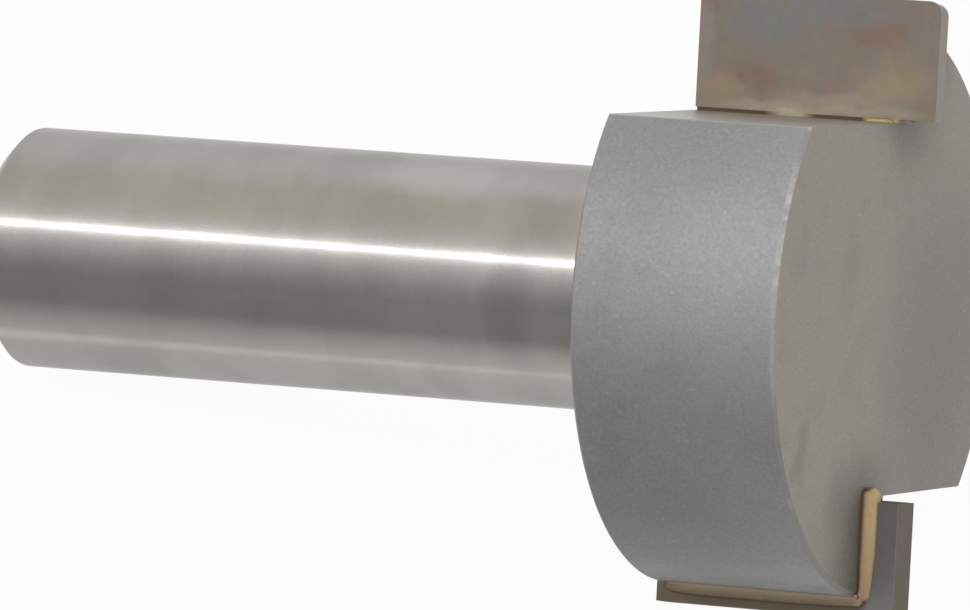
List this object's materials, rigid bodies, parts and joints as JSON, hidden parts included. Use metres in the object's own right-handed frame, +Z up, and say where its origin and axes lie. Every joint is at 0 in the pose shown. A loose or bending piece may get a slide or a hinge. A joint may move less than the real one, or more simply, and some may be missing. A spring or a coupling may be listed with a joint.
{
  "type": "surfacing router bit",
  "caption": "Straight-shank router bit with a wide flat head and brazed carbide tips, for planing a wooden surface flat.",
  "frame": {"origin": "on the bench, under the middle of the bit's bounding box", "axes": "+Z up from the bench; +X level, in the plane of the bit's axis, from the shank towards the cutting end"},
  "size_m": [0.0542, 0.0296, 0.0296],
  "materials": {
    "steel": "ground shank, bead-blasted head",
    "carbide": "ground, with a heat tint from brazing",
    "braze": "as brazed"
  },
  "bodies": {
    "root": {"cutter_body": "steel", "carbide_tip_a": "carbide", "carbide_tip_b": "carbide", "braze_joint_a": "braze", "braze_joint_b": "braze"}
  },
  "joints": []
}
